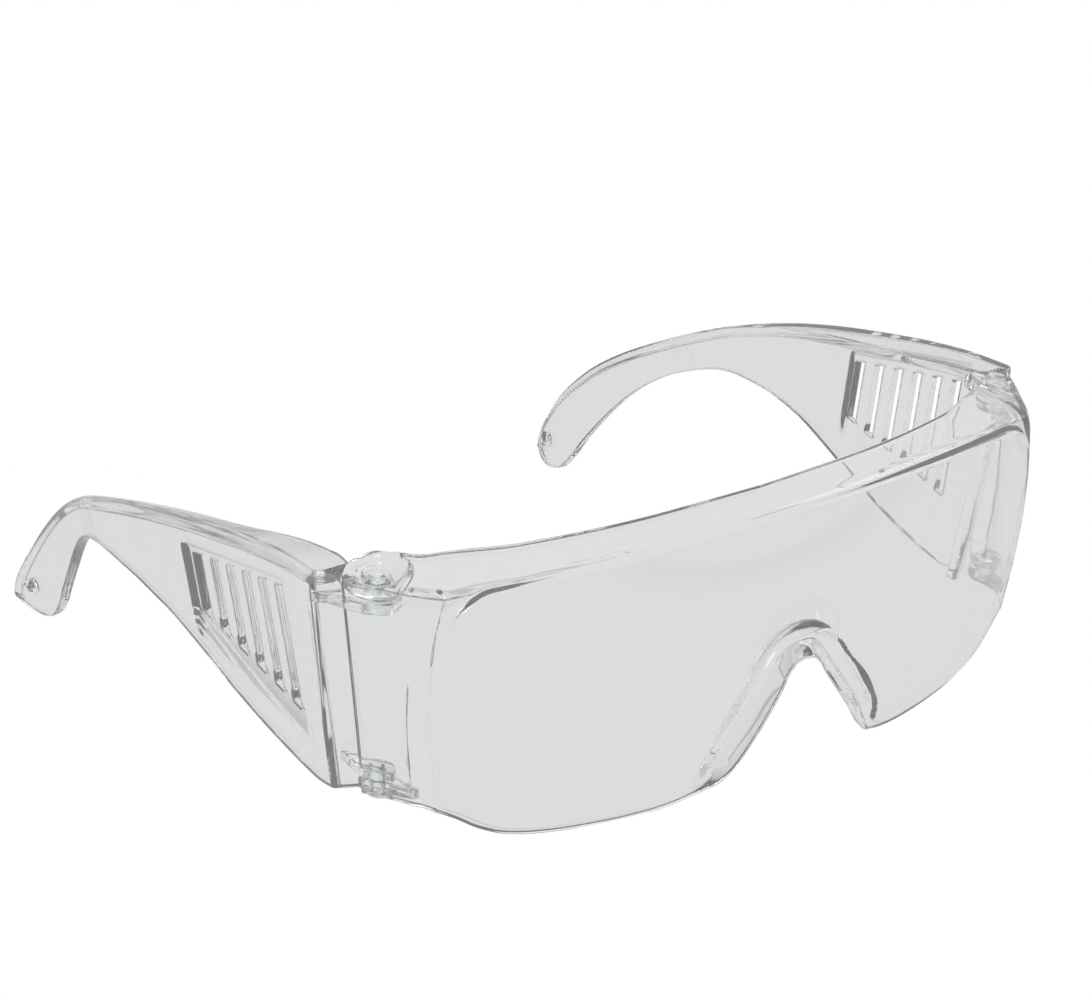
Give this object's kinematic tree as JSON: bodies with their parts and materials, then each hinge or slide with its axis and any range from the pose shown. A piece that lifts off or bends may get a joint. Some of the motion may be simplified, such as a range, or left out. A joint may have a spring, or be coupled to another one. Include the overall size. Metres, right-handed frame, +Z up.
{
  "type": "safety glasses",
  "caption": "Clear wraparound over-spectacle safety glasses with folding vented temples and an integral nose arch.",
  "frame": {"origin": "on the surface the glasses stand on, at the middle of their width and depth", "axes": "-Y the way the wearer looks, +X to the wearer's left, +Z up with the temples open"},
  "size_m": [0.156, 0.1614, 0.0517],
  "materials": {
    "lens": "clear gloss",
    "temples": "clear gloss",
    "pins": "clear gloss"
  },
  "bodies": {
    "front": {"lens_front": "lens", "hinge_pin_upper_right": "pins", "hinge_pin_upper_left": "pins", "hinge_pin_lower_right": "pins", "hinge_pin_lower_left": "pins"},
    "temple_right": {"temple_right": "temples"},
    "temple_left": {"temple_left": "temples"}
  },
  "joints": [
    {"name": "right_temple_fold", "type": "hinge", "parent": "front", "child": "temple_right", "pos_m": [-0.0684, -0.05633, 0.02903], "axis": [0, 0.0799, -0.9968], "range_deg": [0, 85]},
    {"name": "left_temple_fold", "type": "hinge", "parent": "front", "child": "temple_left", "pos_m": [0.0684, -0.05633, 0.02903], "axis": [0, -0.0799, 0.9968], "range_deg": [0, 60]}
  ]
}
